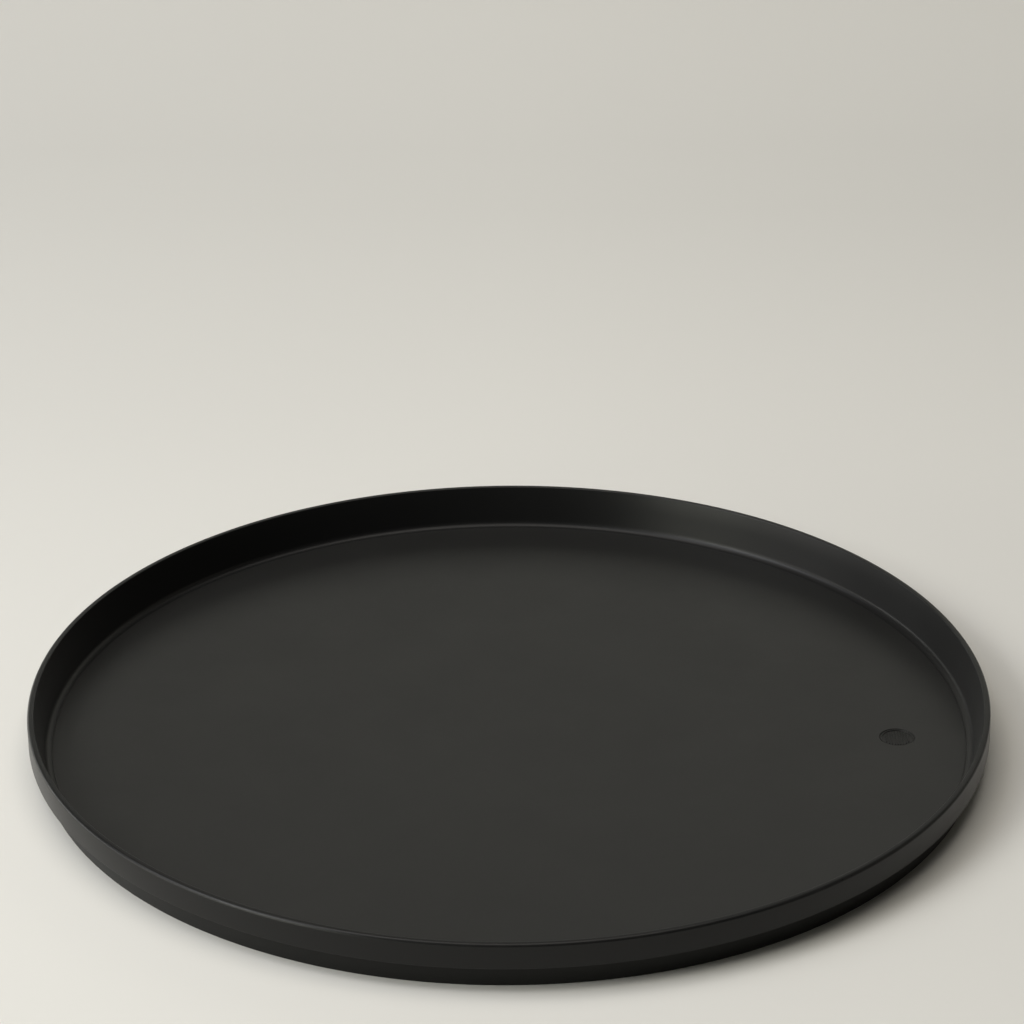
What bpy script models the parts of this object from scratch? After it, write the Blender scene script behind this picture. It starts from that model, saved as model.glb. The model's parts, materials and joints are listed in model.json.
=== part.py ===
"""Round serving tray, 400 mm across, as an assembly of separate pieces.

Run it with   blender --background --python part.py   or from the text editor.

Units are metres and +Z is up.  The origin is at the centre of the circle that
the tray stands on, so the tray rests on the plane z = 0.

The pieces, from the table upwards:
  base_ring    soft non-slip ring that wraps the lower outside corner
  tray_shell   the rigid moulding: floor plate, sloping wall, flat lip, skirt
  floor_liner  thin non-slip mat bonded to the floor plate
  emblem_disc  small ribbed disc set in a round hole in the mat
"""
import math

import bmesh
import bpy
from mathutils import Matrix, Vector

MM = 0.001

# ---------------------------------------------------------------- dimensions
SEGMENTS = 96            # facets round the tray
GAP = 0.3 * MM           # clearance between two pieces that touch

RIM_R = 200.0 * MM       # outside radius of the skirt and lip
RIM_Z = 21.0 * MM        # top of the lip above the table
LIP_IN_R = 197.3 * MM    # inner edge of the lip, before its small round
LIP_OUT_ROUND = 1.3 * MM
LIP_IN_ROUND = 0.5 * MM

SKIRT_Z = 10.4 * MM      # lower edge of the vertical skirt
SKIRT_IN_R = 197.9 * MM  # inside face of the skirt, seen from below
SKIRT_ROUND = 0.25 * MM
GROOVE_TOP_Z = 15.2 * MM # top of the groove between skirt and wall

FILLET = 3.1 * MM        # inside fillet between floor and wall
FILLET_Z = 3.3 * MM      # height at which the fillet starts, beside the mat
WALL_T = 1.1 * MM        # thickness of the wall below the skirt, measured level

PLATE_TOP_Z = 2.3 * MM   # floor plate, under the mat
PLATE_LOW_Z = 0.5 * MM   # underside of the floor plate, outer part
PANEL_R = 150.0 * MM     # middle of the underside is set back
PANEL_Z = 0.9 * MM
REBATE_Z = 1.2 * MM      # rebate in the underside for the ring's flange
MAT_SEAT_R = 191.0 * MM  # radius of the seat that the mat lies in

MAT_R = MAT_SEAT_R - GAP
MAT_LOW_Z = PLATE_TOP_Z + GAP
MAT_TOP_Z = 3.4 * MM
MAT_ROUND = 0.3 * MM

BASE_R = 194.7 * MM      # outside radius of the ring at the table
BASE_TOP_R = 197.6 * MM  # outside radius of the ring under the skirt
BASE_TOP_Z = 11.5 * MM   # top of the ring's tongue, up inside the groove
BASE_KNEE_Z = 10.1 * MM  # where the sloping outside turns vertical
FLANGE_IN_R = 186.0 * MM
FLANGE_T = 0.9 * MM

EMBLEM_AT = (161.7 * MM, -11.0 * MM)
EMBLEM_R = 7.2 * MM
EMBLEM_TOP_Z = 3.2 * MM
EMBLEM_RIM = 0.7 * MM    # width of the raised border
RIB_W = 0.55 * MM
RIB_PITCH = 1.5 * MM
RIB_H = 0.15 * MM
EMBLEM_SEGMENTS = 32

# The wall's inside face is a cone that is tangent to the fillet and ends at the lip.
_dr, _dz = LIP_IN_R - MAT_SEAT_R, RIM_Z - FILLET_Z - FILLET
TILT = math.atan2(_dr, _dz) - math.asin(FILLET / math.hypot(_dr, _dz))
SLOPE = math.tan(TILT)   # outwards per unit up


# ------------------------------------------------------------------- helpers
def clear_scene():
    for ob in list(bpy.data.objects):
        bpy.data.objects.remove(ob, do_unlink=True)


def make_material(name, rgb, roughness, specular=0.5, metallic=0.0):
    mat = bpy.data.materials.new(name)
    mat.use_nodes = True
    bsdf = mat.node_tree.nodes["Principled BSDF"]
    bsdf.inputs["Base Color"].default_value = (*rgb, 1.0)
    bsdf.inputs["Roughness"].default_value = roughness
    bsdf.inputs["Metallic"].default_value = metallic
    bsdf.inputs["Specular IOR Level"].default_value = specular
    mat.diffuse_color = (*rgb, 1.0)
    return mat


def wall_in(z):
    """Radius of the wall's inside face at height z."""
    return LIP_IN_R - (RIM_Z - z) * SLOPE


def wall_out(z):
    """Radius of the wall's outside face at height z."""
    return wall_in(z) + WALL_T


def rounded(points, steps=4):
    """Turn corners (r, z, radius) into a profile whose corners are arcs."""
    out = []
    n = len(points)
    for i, (r, z, rad) in enumerate(points):
        here = Vector((r, z))
        if rad <= 0.0 or i in (0, n - 1):
            out.append((r, z))
            continue
        a = (Vector(points[i - 1][:2]) - here).normalized()
        b = (Vector(points[i + 1][:2]) - here).normalized()
        half = math.acos(max(-1.0, min(1.0, a.dot(b)))) / 2.0
        run = rad / math.tan(half)
        centre = here + (a + b).normalized() * (rad / math.sin(half))
        start = here + a * run - centre
        end = here + b * run - centre
        sweep = math.atan2(start.x * end.y - start.y * end.x, start.dot(end))
        for k in range(steps + 1):
            t = sweep * k / steps
            c, s = math.cos(t), math.sin(t)
            out.append((centre.x + start.x * c - start.y * s,
                        centre.y + start.x * s + start.y * c))
    return out


def turned(name, profile, closed, segments=SEGMENTS):
    """Spin a profile of (radius, height) points once round the Z axis."""
    bm = bmesh.new()
    verts = [bm.verts.new((r, 0.0, z)) for r, z in profile]
    pairs = list(zip(verts, verts[1:]))
    if closed:
        pairs.append((verts[-1], verts[0]))
    edges = [bm.edges.new(p) for p in pairs]
    bmesh.ops.spin(bm, geom=verts + edges, cent=(0, 0, 0), axis=(0, 0, 1),
                   angle=2.0 * math.pi, steps=segments, use_merge=True)
    bmesh.ops.remove_doubles(bm, verts=bm.verts, dist=1e-6)
    bmesh.ops.dissolve_degenerate(bm, edges=bm.edges, dist=1e-7)
    bmesh.ops.recalc_face_normals(bm, faces=bm.faces)
    return finish_mesh(name, bm)


def finish_mesh(name, bm):
    mesh = bpy.data.meshes.new(name)
    bm.to_mesh(mesh)
    bm.free()
    ob = bpy.data.objects.new(name, mesh)
    bpy.context.scene.collection.objects.link(ob)
    return ob


def dress(ob, material, parent, smooth_angle=30.0):
    ob.data.materials.clear()
    ob.data.materials.append(material)
    ob.data.shade_smooth()
    ob.data.set_sharp_from_angle(angle=math.radians(smooth_angle))
    ob.parent = parent


# ---------------------------------------------------------------- the pieces
def build_shell():
    """Floor plate, sloping wall, flat lip and hanging skirt in one moulding."""
    steps = 6
    turn = math.pi / 2 - TILT
    fillet = [(MAT_SEAT_R + FILLET * math.sin(turn * k / steps),
               FILLET_Z + FILLET - FILLET * math.cos(turn * k / steps))
              for k in range(steps + 1)]
    inside = [(0.0, PLATE_TOP_Z), (MAT_SEAT_R, PLATE_TOP_Z)] + fillet
    upper = rounded([
        (*fillet[-1], 0.0),
        (LIP_IN_R, RIM_Z, LIP_IN_ROUND),
        (RIM_R, RIM_Z, LIP_OUT_ROUND),
        (RIM_R, SKIRT_Z, SKIRT_ROUND),
        (SKIRT_IN_R, SKIRT_Z, SKIRT_ROUND),
        (SKIRT_IN_R, GROOVE_TOP_Z, 0.0),
        (wall_out(GROOVE_TOP_Z), GROOVE_TOP_Z, 0.0),
        (wall_out(REBATE_Z), REBATE_Z, 2.0 * MM),
        (FLANGE_IN_R - GAP, REBATE_Z, 0.0),
        (FLANGE_IN_R - GAP, PLATE_LOW_Z, 0.0),
        (PANEL_R, PLATE_LOW_Z, 0.0),
        (PANEL_R - 2.0 * MM, PANEL_Z, 0.0),
        (0.0, PANEL_Z, 0.0),
    ], steps=3)
    return turned("tray_shell", inside + upper[1:], closed=False)


def build_base_ring():
    """Soft ring: an upstand round the wall and a flange under its corner."""
    profile = rounded([
        (FLANGE_IN_R, FLANGE_T, 0.0),
        (FLANGE_IN_R, 0.0, 0.3 * MM),
        (BASE_R, 0.0, 0.3 * MM),
        (BASE_TOP_R, BASE_KNEE_Z, 0.0),
        (BASE_TOP_R, BASE_TOP_Z, 0.0),
        (wall_out(BASE_TOP_Z) + 0.32 * MM, BASE_TOP_Z, 0.0),
        (wall_out(FLANGE_T) + 0.32 * MM, FLANGE_T, 0.0),
    ], steps=2)
    return turned("base_ring", profile, closed=True)


def build_mat():
    """Thin round mat with a hole for the emblem."""
    profile = rounded([
        (0.0, MAT_LOW_Z, 0.0),
        (MAT_R, MAT_LOW_Z, 0.0),
        (MAT_R, MAT_TOP_Z, MAT_ROUND),
        (0.0, MAT_TOP_Z, 0.0),
    ], steps=3)
    mat = turned("floor_liner", profile, closed=False)

    bm = bmesh.new()
    bmesh.ops.create_cone(bm, cap_ends=True, segments=EMBLEM_SEGMENTS,
                          radius1=EMBLEM_R + GAP, radius2=EMBLEM_R + GAP,
                          depth=4.0 * MM)
    punch = finish_mesh("emblem_hole_cutter", bm)
    punch.location = (*EMBLEM_AT, (MAT_LOW_Z + MAT_TOP_Z) / 2)
    punch.hide_render = True
    punch.display_type = 'WIRE'

    cut = mat.modifiers.new("emblem_hole", 'BOOLEAN')
    cut.operation = 'DIFFERENCE'
    cut.solver = 'EXACT'
    cut.object = punch
    return mat, punch


def build_emblem():
    """Disc with a raised border and a row of parallel ribs of one height."""
    face = EMBLEM_TOP_Z - RIB_H
    profile = [
        (0.0, MAT_LOW_Z), (EMBLEM_R, MAT_LOW_Z), (EMBLEM_R, EMBLEM_TOP_Z),
        (EMBLEM_R - EMBLEM_RIM, EMBLEM_TOP_Z), (EMBLEM_R - EMBLEM_RIM, face),
        (0.0, face),
    ]
    disc = turned("emblem_disc", profile, closed=False, segments=EMBLEM_SEGMENTS)
    disc.location = (*EMBLEM_AT, 0.0)

    # One thin block per rib, joined to the disc by a union.
    bm = bmesh.new()
    inner = EMBLEM_R - EMBLEM_RIM - 0.5 * MM
    count = int(inner / RIB_PITCH)
    for i in range(-count, count + 1):
        x = i * RIB_PITCH
        reach = math.sqrt(inner * inner - x * x)
        if reach < 1.0 * MM:
            continue
        low, high = face - 0.2 * MM, EMBLEM_TOP_Z
        block = Matrix.LocRotScale(Vector((x, 0.0, (low + high) / 2)), None,
                                   Vector((RIB_W, 2 * reach, high - low)))
        bmesh.ops.create_cube(bm, size=1.0, matrix=block)
    ribs = finish_mesh("emblem_ribs_tool", bm)
    ribs.location = (*EMBLEM_AT, 0.0)
    ribs.hide_render = True
    ribs.display_type = 'WIRE'
    join = disc.modifiers.new("ribs", 'BOOLEAN')
    join.operation = 'UNION'
    join.solver = 'EXACT'
    join.object = ribs
    return disc, ribs


def main():
    clear_scene()
    root = bpy.data.objects.new("serving_tray", None)
    bpy.context.scene.collection.objects.link(root)

    black = make_material("shell_plastic", (0.012, 0.012, 0.012), 0.38)
    soft = make_material("mat_elastomer", (0.018, 0.018, 0.017), 0.48)
    grip = make_material("ring_elastomer", (0.012, 0.012, 0.011), 0.55)
    badge = make_material("emblem_plastic", (0.010, 0.010, 0.010), 0.42)

    dress(build_shell(), black, root)
    dress(build_base_ring(), grip, root)
    mat, punch = build_mat()
    dress(mat, soft, root)
    punch.parent = root
    disc, ribs = build_emblem()
    dress(disc, badge, root)
    ribs.parent = root


main()
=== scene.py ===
"""Looks for the round serving tray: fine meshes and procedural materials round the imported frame."""

import json
import math

import bmesh
import bpy
from mathutils import Matrix, Vector


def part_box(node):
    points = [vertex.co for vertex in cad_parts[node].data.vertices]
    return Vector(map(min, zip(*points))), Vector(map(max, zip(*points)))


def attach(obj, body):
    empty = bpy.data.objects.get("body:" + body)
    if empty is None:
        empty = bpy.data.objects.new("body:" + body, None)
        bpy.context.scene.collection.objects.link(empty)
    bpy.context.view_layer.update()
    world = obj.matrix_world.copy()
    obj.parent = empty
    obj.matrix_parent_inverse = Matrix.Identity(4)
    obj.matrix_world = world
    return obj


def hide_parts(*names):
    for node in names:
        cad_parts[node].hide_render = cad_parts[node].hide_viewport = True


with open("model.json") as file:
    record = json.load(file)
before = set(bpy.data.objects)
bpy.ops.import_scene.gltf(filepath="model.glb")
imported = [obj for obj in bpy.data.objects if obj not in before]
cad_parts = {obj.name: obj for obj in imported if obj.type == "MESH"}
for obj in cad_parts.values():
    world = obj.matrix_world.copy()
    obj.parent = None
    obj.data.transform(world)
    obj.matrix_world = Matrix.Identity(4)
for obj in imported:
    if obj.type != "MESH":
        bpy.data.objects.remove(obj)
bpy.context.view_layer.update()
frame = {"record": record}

MM = 0.001
scene = bpy.context.scene
slots = {m["slot"]: m for m in frame["record"]["materials"]}

# ------------------------------------------------------------------ measures
# The main sizes are read from the imported pieces; the others are given in millimetres, most as offsets from them.
shell_lo, shell_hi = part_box("tray_shell")
mat_lo, mat_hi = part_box("floor_liner")
ring_lo, ring_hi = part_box("base_ring")
badge_lo, badge_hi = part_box("emblem_disc")

RIM_R = (shell_hi.x - shell_lo.x) / 2
RIM_Z = shell_hi.z
MAT_R = (mat_hi.x - mat_lo.x) / 2
MAT_LOW, MAT_TOP = mat_lo.z, mat_hi.z
BASE_TOP_R = (ring_hi.x - ring_lo.x) / 2
BASE_TOP_Z = ring_hi.z
BADGE = Vector(((badge_lo.x + badge_hi.x) / 2, (badge_lo.y + badge_hi.y) / 2, 0.0))
BADGE_R = (badge_hi.x - badge_lo.x) / 2
BADGE_TOP = badge_hi.z

GAP = 0.3 * MM
LIP_IN_R = RIM_R - 2.7 * MM
SKIRT_Z = RIM_Z - 10.6 * MM
SKIRT_IN_R = RIM_R - 2.1 * MM
GROOVE_TOP = RIM_Z - 5.8 * MM
FILLET = 3.1 * MM
FILLET_Z = MAT_TOP - 0.03 * MM
WALL_T = 1.1 * MM
SEAT_R = MAT_R + GAP
PLATE_TOP = MAT_LOW - GAP
PLATE_LOW = shell_lo.z
PANEL_R = 150.0 * MM
PANEL_Z = PLATE_LOW + 0.4 * MM
REBATE_Z = 1.2 * MM
FLANGE_IN_R = RIM_R - 14.0 * MM
FLANGE_T = 0.9 * MM
BASE_R = RIM_R - 5.3 * MM
KNEE_Z = 10.1 * MM
_dr, _dz = LIP_IN_R - SEAT_R, RIM_Z - FILLET_Z - FILLET
TILT = math.atan2(_dr, _dz) - math.asin(FILLET / math.hypot(_dr, _dz))
SLOPE = math.tan(TILT)
TURNS = 384


def wall_out(z):
    return LIP_IN_R - (RIM_Z - z) * SLOPE + WALL_T


# ------------------------------------------------------------------- helpers
def rounded(points, steps=6, closed=False):
    """Corners (r, z, radius) turned into a profile whose corners are arcs."""
    out = []
    n = len(points)
    for i, (r, z, rad) in enumerate(points):
        here = Vector((r, z))
        if rad <= 0.0 or (not closed and i in (0, n - 1)):
            out.append((r, z))
            continue
        a = (Vector(points[i - 1][:2]) - here).normalized()
        b = (Vector(points[(i + 1) % n][:2]) - here).normalized()
        half = math.acos(max(-1.0, min(1.0, a.dot(b)))) / 2.0
        run = rad / math.tan(half)
        centre = here + (a + b).normalized() * (rad / math.sin(half))
        start = here + a * run - centre
        end = here + b * run - centre
        sweep = math.atan2(start.x * end.y - start.y * end.x, start.dot(end))
        for k in range(steps + 1):
            t = sweep * k / steps
            c, s = math.cos(t), math.sin(t)
            out.append((centre.x + start.x * c - start.y * s,
                        centre.y + start.x * s + start.y * c))
    return out


def subdivide(profile, longest):
    """Split long runs of a profile, so that the faces stay well shaped."""
    out = [profile[0]]
    for (r0, z0), (r1, z1) in zip(profile, profile[1:]):
        n = max(1, math.ceil(math.hypot(r1 - r0, z1 - z0) / longest))
        out += [(r0 + (r1 - r0) * k / n, z0 + (z1 - z0) * k / n) for k in range(1, n + 1)]
    return out


def lathe_faces(bm, profile, closed, turns, centre=(0.0, 0.0)):
    """Rings of vertices for a profile turned about a vertical axis; on-axis points are one vertex."""
    rings = []
    for r, z in profile:
        if r < 1e-9:
            rings.append([bm.verts.new((centre[0], centre[1], z))])
        else:
            rings.append([bm.verts.new((centre[0] + r * math.cos(2 * math.pi * k / turns),
                                        centre[1] + r * math.sin(2 * math.pi * k / turns), z))
                          for k in range(turns)])
    pairs = list(zip(rings, rings[1:])) + ([(rings[-1], rings[0])] if closed else [])
    for a, b in pairs:
        for k in range(turns):
            j = (k + 1) % turns
            if len(a) == 1 and len(b) == 1:
                break
            if len(a) == 1:
                bm.faces.new((a[0], b[j], b[k]))
            elif len(b) == 1:
                bm.faces.new((a[k], a[j], b[0]))
            else:
                bm.faces.new((a[k], a[j], b[j], b[k]))
    return rings


def piece(name, bm, material, node, smooth=30.0):
    bmesh.ops.recalc_face_normals(bm, faces=bm.faces)
    mesh = bpy.data.meshes.new(name)
    bm.to_mesh(mesh)
    bm.free()
    ob = bpy.data.objects.new(name, mesh)
    scene.collection.objects.link(ob)
    mesh.shade_smooth()
    mesh.set_sharp_from_angle(angle=math.radians(smooth))
    mesh.materials.append(material)
    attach(ob, "root")
    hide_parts(node)
    return ob


# ----------------------------------------------------------------- materials
class Nodes:
    """Short way to write a node tree."""

    def __init__(self, name):
        self.mat = bpy.data.materials.new(name)
        self.mat.use_nodes = True
        self.tree = self.mat.node_tree
        self.bsdf = self.tree.nodes["Principled BSDF"]
        self.coords = self.new("ShaderNodeTexCoord").outputs["Object"]

    def new(self, kind, **props):
        node = self.tree.nodes.new(kind)
        for key, value in props.items():
            setattr(node, key, value)
        return node

    def link(self, a, b):
        self.tree.links.new(a, b)

    def noise(self, scale, detail=2.0, rough=0.5, vector=None):
        node = self.new("ShaderNodeTexNoise")
        node.inputs["Scale"].default_value = scale
        node.inputs["Detail"].default_value = detail
        node.inputs["Roughness"].default_value = rough
        self.link(vector or self.coords, node.inputs["Vector"])
        return node.outputs["Fac"]

    def span(self, value, low, high, out_low, out_high):
        node = self.new("ShaderNodeMapRange")
        node.inputs["From Min"].default_value = low
        node.inputs["From Max"].default_value = high
        node.inputs["To Min"].default_value = out_low
        node.inputs["To Max"].default_value = out_high
        self.link(value, node.inputs["Value"])
        return node.outputs["Result"]

    def maths(self, op, a, b):
        node = self.new("ShaderNodeMath", operation=op)
        for i, v in enumerate((a, b)):
            if isinstance(v, (int, float)):
                node.inputs[i].default_value = v
            else:
                self.link(v, node.inputs[i])
        return node.outputs[0]

    def mix(self, fac, a, b):
        node = self.new("ShaderNodeMix", data_type='RGBA')
        self.link(fac, node.inputs[0])
        for socket, value in ((node.inputs[6], a), (node.inputs[7], b)):
            if isinstance(value, tuple):
                socket.default_value = (*value, 1.0)
            else:
                self.link(value, socket)
        return node.outputs[2]

    def radius(self):
        """Distance from the tray's axis, and height, of the point being shaded."""
        split = self.new("ShaderNodeSeparateXYZ")
        self.link(self.coords, split.inputs[0])
        x, y, z = split.outputs
        return self.root(self.maths('MULTIPLY', x, x), self.maths('MULTIPLY', y, y)), z

    def root(self, a, b):
        return self.maths('POWER', self.maths('ADD', a, b), 0.5)

    def near_circle(self, r, z, reach):
        """1 on the circle of radius r at height z, falling to 0 at a distance of reach."""
        rr, zz = self.radius()
        dr, dz = self.maths('SUBTRACT', rr, r), self.maths('SUBTRACT', zz, z)
        gap = self.root(self.maths('MULTIPLY', dr, dr), self.maths('MULTIPLY', dz, dz))
        return self.span(gap, 0.0, reach, 1.0, 0.0)

    def bump(self, height, strength, distance):
        node = self.new("ShaderNodeBump")
        node.inputs["Strength"].default_value = strength
        node.inputs["Distance"].default_value = distance
        self.link(height, node.inputs["Height"])
        self.link(node.outputs["Normal"], self.bsdf.inputs["Normal"])


def polymer(name, dark, light, rough, rough_var, grain, grain_mm, specular=0.5,
            sheen=0.0, edges=(), worn=(0.020, 0.020, 0.0195)):
    """Through-coloured moulded plastic or rubber: fine moulded grain, soft clouds of gloss,
    small handling marks, and edges (circles of radius and height) rubbed a little paler and smoother."""
    m = Nodes(name)
    tone = m.noise(9.0, 4.0, 0.55)
    colour = m.mix(m.span(tone, 0.3, 0.7, 0.0, 1.0), dark, light)
    cloud = m.noise(24.0, 5.0, 0.6)
    fine = m.noise(1400.0, 3.0, 0.6)
    r = m.maths('ADD', m.span(cloud, 0.3, 0.7, rough - rough_var, rough + rough_var),
                m.span(fine, 0.3, 0.7, -0.02, 0.02))
    # sparse small rubs, where the gloss differs and the colour hardly does
    rub = m.span(m.noise(60.0, 6.0, 0.7), 0.62, 0.74, 0.0, 1.0)
    r = m.maths('ADD', r, m.maths('MULTIPLY', rub, -0.035))
    patchy = m.span(m.noise(140.0, 5.0, 0.65), 0.42, 0.66, 0.25, 1.0)
    for radius, height, reach in edges:
        wear = m.maths('MULTIPLY', m.near_circle(radius, height, reach), patchy)
        colour = m.mix(m.maths('MULTIPLY', wear, 0.5), colour, worn)
        r = m.maths('ADD', r, m.maths('MULTIPLY', wear, -0.06))
    m.link(colour, m.bsdf.inputs["Base Color"])
    m.link(r, m.bsdf.inputs["Roughness"])
    m.bump(m.noise(1000.0 / grain_mm, 3.0, 0.6), grain, 0.00005)
    m.bsdf.inputs["Specular IOR Level"].default_value = specular
    m.bsdf.inputs["Sheen Weight"].default_value = sheen
    m.bsdf.inputs["Sheen Roughness"].default_value = 0.4
    return m.mat


shell_black = polymer("moulded_black", (0.0078, 0.0078, 0.0078), (0.0090, 0.0090, 0.0089),
                      0.34, 0.025, 0.10, 0.9, specular=0.22, sheen=0.04,
                      edges=[(RIM_R - 0.3 * MM, RIM_Z - 0.4 * MM, 1.0 * MM), (LIP_IN_R, RIM_Z, 0.4 * MM),
                             (RIM_R, SKIRT_Z, 0.6 * MM)],
                      worn=(0.020, 0.020, 0.0195))
mat_black = polymer("mat_black", (0.0120, 0.0120, 0.0114), (0.0135, 0.0135, 0.0128),
                    0.43, 0.03, 0.18, 0.6, specular=0.36)
ring_black = polymer("ring_black", (0.0065, 0.0065, 0.0061), (0.0075, 0.0075, 0.0071),
                     0.48, 0.03, 0.15, 0.7, specular=0.15, sheen=0.05,
                     edges=[(BASE_R, 0.0, 1.0 * MM), (BASE_TOP_R, KNEE_Z, 0.5 * MM)],
                     worn=(0.016, 0.016, 0.0155))
badge_black = polymer("badge_black", (0.0070, 0.0070, 0.0068), (0.0080, 0.0080, 0.0078),
                      0.40, 0.02, 0.08, 0.5, specular=0.28)


# -------------------------------------------------------------------- pieces
def make_shell():
    steps, turn = 18, math.pi / 2 - TILT
    arc = [(SEAT_R + FILLET * math.sin(turn * k / steps),
            FILLET_Z + FILLET - FILLET * math.cos(turn * k / steps)) for k in range(steps + 1)]
    # the visible seat closes up to the mat, with a very small round on its edge
    seat = rounded([(SEAT_R - 0.25 * MM, PLATE_TOP, 0.0), (SEAT_R - 0.25 * MM, FILLET_Z, 0.06 * MM),
                    (arc[1][0], FILLET_Z + 0.01 * MM, 0.0)], steps=3)
    inside = [(0.0, PLATE_TOP)] + seat[:-1] + arc[1:]
    upper = rounded([
        (*arc[-1], 0.0),
        (LIP_IN_R, RIM_Z, 0.5 * MM),
        (RIM_R, RIM_Z, 1.3 * MM),
        (RIM_R, SKIRT_Z, 0.25 * MM),
        (SKIRT_IN_R, SKIRT_Z, 0.2 * MM),
        (SKIRT_IN_R, GROOVE_TOP, 0.2 * MM),
        (wall_out(GROOVE_TOP), GROOVE_TOP, 0.0),
        (wall_out(REBATE_Z), REBATE_Z, 2.0 * MM),
        (FLANGE_IN_R - GAP, REBATE_Z, 0.15 * MM),
        (FLANGE_IN_R - GAP, PLATE_LOW, 0.25 * MM),
        (PANEL_R, PLATE_LOW, 0.8 * MM),
        (PANEL_R - 2.0 * MM, PANEL_Z, 0.8 * MM),
        (6.0 * MM, PANEL_Z, 0.3 * MM),
        (5.0 * MM, PANEL_Z + 0.35 * MM, 0.3 * MM),
        (1.6 * MM, PANEL_Z + 0.35 * MM, 0.1 * MM),
        (1.3 * MM, PANEL_Z + 0.15 * MM, 0.1 * MM),
        (0.0, PANEL_Z + 0.15 * MM, 0.0),
    ], steps=8)
    bm = bmesh.new()
    lathe_faces(bm, subdivide(inside + upper[1:], 12 * MM), False, TURNS)
    return piece("tray_moulding", bm, shell_black, "tray_shell")


def make_ring():
    profile = [
        (FLANGE_IN_R, FLANGE_T, 0.15 * MM),
        (FLANGE_IN_R, 0.0, 0.3 * MM),
    ]
    # fine grip grooves round the flat that touches the table
    r = FLANGE_IN_R + 1.6 * MM
    while r < BASE_R - 1.8 * MM:
        profile += [(r - 0.30 * MM, 0.0, 0.08 * MM), (r - 0.18 * MM, 0.25 * MM, 0.08 * MM),
                    (r + 0.18 * MM, 0.25 * MM, 0.08 * MM), (r + 0.30 * MM, 0.0, 0.08 * MM)]
        r += 1.4 * MM
    profile += [
        (BASE_R, 0.0, 0.3 * MM),
        (BASE_TOP_R, KNEE_Z, 0.5 * MM),
        (BASE_TOP_R, BASE_TOP_Z, 0.15 * MM),
        (wall_out(BASE_TOP_Z) + 0.32 * MM, BASE_TOP_Z, 0.15 * MM),
        (wall_out(FLANGE_T) + 0.32 * MM, FLANGE_T, 0.0),
    ]
    bm = bmesh.new()
    lathe_faces(bm, rounded(profile, steps=5, closed=True), True, TURNS)
    return piece("grip_ring", bm, ring_black, "base_ring")


def make_mat():
    """The mat: a turned edge, flat faces with a round hole, and an eased edge round the hole."""
    hole_r = BADGE_R + 0.15 * MM
    bm = bmesh.new()
    edge = rounded([(MAT_R - 1.2 * MM, MAT_LOW, 0.0), (MAT_R, MAT_LOW, 0.1 * MM),
                    (MAT_R, MAT_TOP, 0.12 * MM), (MAT_R - 1.2 * MM, MAT_TOP, 0.0)], steps=9)
    outer = lathe_faces(bm, edge, False, TURNS)
    side = rounded([(hole_r + 0.6 * MM, MAT_TOP, 0.0), (hole_r, MAT_TOP, 0.15 * MM),
                    (hole_r, MAT_LOW, 0.05 * MM), (hole_r + 0.6 * MM, MAT_LOW, 0.0)], steps=4)
    inner = lathe_faces(bm, side, False, 96, centre=(BADGE.x, BADGE.y))
    for a, b in ((outer[-1], inner[0]), (outer[0], inner[-1])):
        loop = []
        for ring in (a, b):
            loop += [bm.edges.get((ring[k], ring[(k + 1) % len(ring)])) for k in range(len(ring))]
        bmesh.ops.triangle_fill(bm, edges=loop, use_beauty=True, use_dissolve=False)
    return piece("floor_mat", bm, mat_black, "floor_liner")


def make_badge():
    """Generic disc: a raised border and parallel ribs, all worked from the disc's radius."""
    border = 0.75 * MM
    face = BADGE_TOP - 0.30 * MM
    bm = bmesh.new()
    lathe_faces(bm, rounded([
        (0.0, MAT_LOW, 0.0), (BADGE_R, MAT_LOW, 0.05 * MM), (BADGE_R, BADGE_TOP, 0.12 * MM),
        (BADGE_R - border, BADGE_TOP, 0.06 * MM), (BADGE_R - border - 0.12 * MM, face, 0.05 * MM),
        (0.0, face, 0.0)], steps=4), False, 96, centre=(BADGE.x, BADGE.y))
    inner = BADGE_R - border - 0.65 * MM
    pitch, half = 1.15 * MM, 0.26 * MM
    n = int(inner / pitch)
    for i in range(-n, n + 1):
        x = i * pitch
        reach = math.sqrt(max(inner * inner - x * x, 0.0))
        if reach < 1.2 * MM:
            continue
        rib_outline(bm, BADGE.x + x, BADGE.y, half, reach, face - 0.05 * MM, BADGE_TOP)
    return piece("floor_badge", bm, badge_black, "emblem_disc")


def rib_outline(bm, x, y, half, reach, low, high):
    """One round-ended rib with eased top edges, as stacked outlines."""
    ends = 8
    levels = [(0.0, low), (0.0, high - 0.08 * MM), (0.03 * MM, high - 0.03 * MM), (0.08 * MM, high)]
    rings = []
    for inset, z in levels:
        w = half - inset
        pts = []
        for k in range(ends + 1):
            t = math.pi * k / ends
            pts.append((x + w * math.cos(t), y + reach - half + w * math.sin(t)))
        for k in range(ends + 1):
            t = math.pi + math.pi * k / ends
            pts.append((x + w * math.cos(t), y - reach + half + w * math.sin(t)))
        rings.append([bm.verts.new((px, py, z)) for px, py in pts])
    m = len(rings[0])
    for a, b in zip(rings, rings[1:]):
        for k in range(m):
            bm.faces.new((a[k], a[(k + 1) % m], b[(k + 1) % m], b[k]))
    bm.faces.new(list(reversed(rings[0])))
    bm.faces.new(rings[-1])


make_shell()
make_ring()
make_mat()
make_badge()


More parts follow.
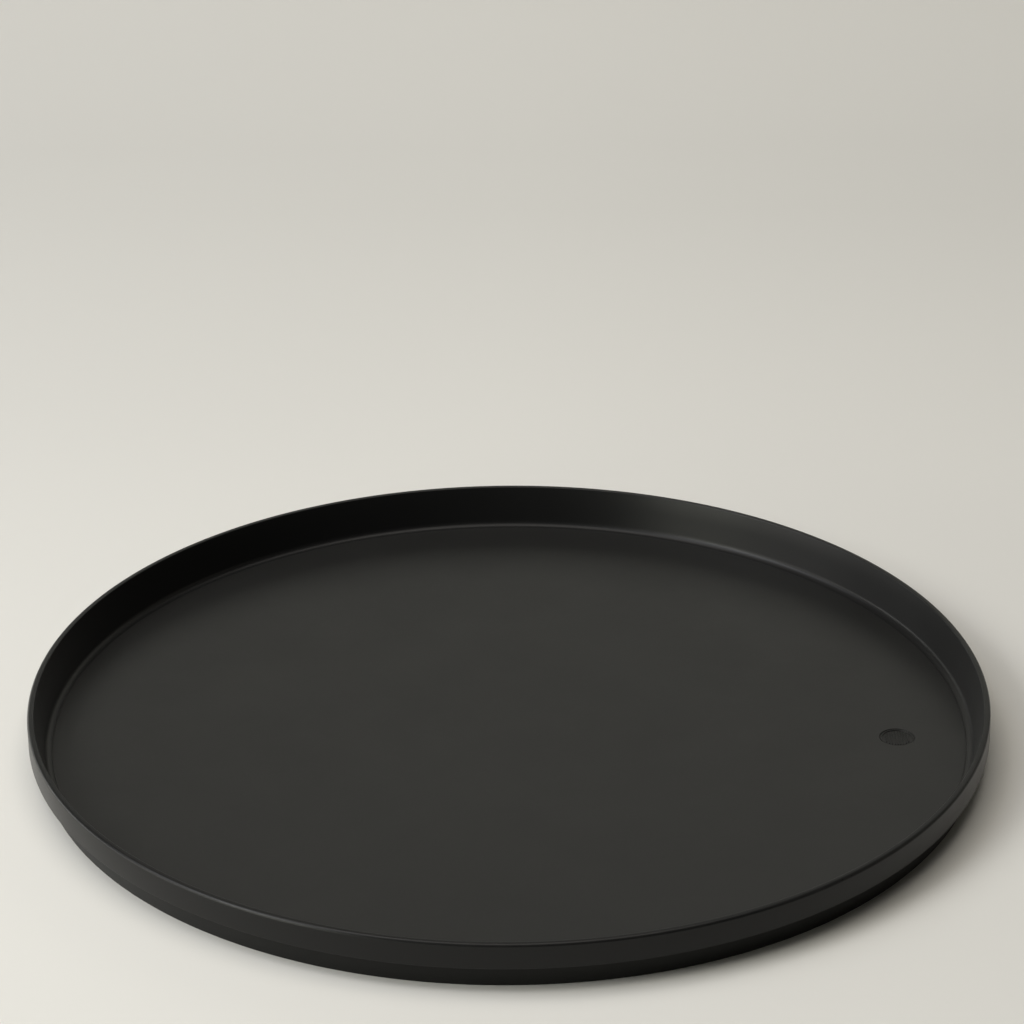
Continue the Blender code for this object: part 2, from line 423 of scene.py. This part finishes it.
# --------------------------------------------------------------------- stage
def make_stage():
    """Pale floor that sweeps up into a backdrop a long way behind the tray."""
    far, radius, height, wide, near = 2.6, 1.6, 3.4, 5.0, -2.6
    path = [(near + (far - near) * k / 12, 0.0) for k in range(13)]
    path += [(far + radius * math.sin(t), radius - radius * math.cos(t))
             for t in (math.pi / 2 * k / 24 for k in range(1, 25))]
    path += [(far + radius, radius + height * k / 4) for k in range(1, 5)]
    bm = bmesh.new()
    cols = 10
    grid = [[bm.verts.new((-wide + 2 * wide * c / cols, y, z - 0.00005)) for c in range(cols + 1)] for y, z in path]
    for a, b in zip(grid, grid[1:]):
        for c in range(cols):
            bm.faces.new((a[c], a[c + 1], b[c + 1], b[c]))
    mesh = bpy.data.meshes.new("studio_floor")
    bm.to_mesh(mesh)
    bm.free()
    ob = bpy.data.objects.new("studio_floor", mesh)
    scene.collection.objects.link(ob)
    mesh.shade_smooth()
    m = Nodes("pale_paper")
    tone = m.noise(1.3, 2.0, 0.5)
    paper = m.mix(m.span(tone, 0.3, 0.7, 0.0, 1.0), (0.770, 0.760, 0.720), (0.790, 0.780, 0.740))
    # painted shade: the paper is darkened towards the left and across a broad strip behind the tray, standing in
    # for light that falls unevenly on the backdrop
    split = m.new("ShaderNodeSeparateXYZ")
    m.link(m.coords, split.inputs[0])
    x, y, _ = split.outputs
    left = m.maths('MULTIPLY', m.span(x, -0.45, 0.0, 1.0, 0.0), m.span(y, -0.05, 0.35, 0.0, 1.0))
    painted_shade_band = m.maths('MULTIPLY', m.span(y, 0.25, 0.6, 0.0, 1.0), m.span(y, 0.6, 0.95, 1.0, 0.0))
    paper = m.mix(m.maths('MULTIPLY', left, 0.5), paper, (0.600, 0.594, 0.572))
    paper = m.mix(m.maths('MULTIPLY', painted_shade_band, 0.5), paper, (0.690, 0.682, 0.645))
    # painted light: the paper is made paler far behind the tray, standing in for brighter light there
    paper = m.mix(m.span(y, 0.7, 1.1, 0.0, 0.8), paper, (0.880, 0.869, 0.824))
    m.link(paper, m.bsdf.inputs["Base Color"])
    m.bsdf.inputs["Roughness"].default_value = 0.9
    m.bsdf.inputs["Specular IOR Level"].default_value = 0.15
    m.bump(m.noise(700.0, 3.0, 0.6), 0.05, 0.00005)
    mesh.materials.append(m.mat)
    return ob


make_stage()


# -------------------------------------------------------------------- camera
def make_camera():
    focal_px = 4000.0
    back, up = 7.35403 * 0.2, 4.06882 * 0.2
    pitch, yaw, roll = 0.44987, 0.00123, 0.00632
    fwd = Vector((math.sin(yaw) * math.cos(pitch), math.cos(yaw) * math.cos(pitch), -math.sin(pitch)))
    right = Vector((math.cos(yaw), -math.sin(yaw), 0.0))
    down = fwd.cross(right)
    r2 = math.cos(roll) * right + math.sin(roll) * down
    d2 = -math.sin(roll) * right + math.cos(roll) * down
    cam = bpy.data.cameras.new("camera")
    cam.sensor_width = 36.0
    cam.lens = focal_px / 1024.0 * 36.0
    cam.clip_start, cam.clip_end = 0.05, 50.0
    ob = bpy.data.objects.new("camera", cam)
    basis = Matrix((r2, -d2, -fwd)).transposed().to_4x4()
    basis.translation = Vector((0.0, -back, up))
    ob.matrix_world = basis
    scene.collection.objects.link(ob)
    scene.camera = ob


make_camera()


# -------------------------------------------------------------------- lights
def softbox(name, azimuth, height, away, size, radiance):
    """Panel that faces the tray. Azimuth 0 is the camera's side, 90 the left, 180 the back."""
    peak = max(radiance)
    light = bpy.data.lights.new(name, 'AREA')
    light.shape = 'RECTANGLE'
    light.size, light.size_y = size
    light.energy = math.pi * size[0] * size[1] * peak
    light.color = [c / peak for c in radiance]
    ob = bpy.data.objects.new(name, light)
    a, e = math.radians(azimuth), math.radians(height)
    at = Vector((-math.sin(a) * math.cos(e), -math.cos(a) * math.cos(e), math.sin(e))) * away
    ob.location = at
    ob.rotation_euler = (-at).to_track_quat('-Z', 'Y').to_euler()
    scene.collection.objects.link(ob)
    return ob


softbox("low_front_left", 50, 6, 2.4, (1.1, 0.5), (7.62, 7.72, 6.75))
softbox("low_left", 80, 6, 2.4, (1.1, 0.5), (6.08, 5.98, 5.69))
softbox("low_left_back", 110, 6, 2.4, (1.1, 0.5), (4.83, 4.83, 4.63))
softbox("low_back_left", 140, 6, 2.4, (1.1, 0.5), (1.54, 1.54, 1.45))
softbox("mid_front_left", 60, 35, 2.3, (0.9, 0.8), (8.2, 8.2, 7.82))
softbox("mid_left", 90, 40, 2.3, (0.9, 0.8), (3.76, 3.76, 3.86))
softbox("key", 75, 48, 2.2, (0.7, 0.6), (2.7, 2.8, 2.99))
softbox("key_high", 85, 64, 2.2, (0.9, 0.7), (3.47, 3.47, 3.57))
softbox("overhead", 0, 90, 2.2, (1.6, 1.6), (1.72, 1.64, 1.52))
softbox("overhead_back", 180, 70, 2.4, (2.0, 1.0), (0.946, 0.907, 0.849))
softbox("right_fill", 270, 24, 2.6, (1.6, 0.8), (0.300, 0.280, 0.230))
softbox("right_back_fill", 225, 30, 2.4, (1.4, 0.9), (0.482, 0.463, 0.405))
softbox("back_wide", 180, 24, 2.6, (2.4, 0.8), (0.482, 0.482, 0.434))

world = bpy.data.worlds.new("studio")
scene.world = world
world.use_nodes = True
background = world.node_tree.nodes["Background"]
background.inputs["Color"].default_value = (1.0, 1.0, 1.0, 1.0)
background.inputs["Strength"].default_value = 0.01

scene.view_settings.view_transform = 'Standard'
scene.view_settings.look = 'None'
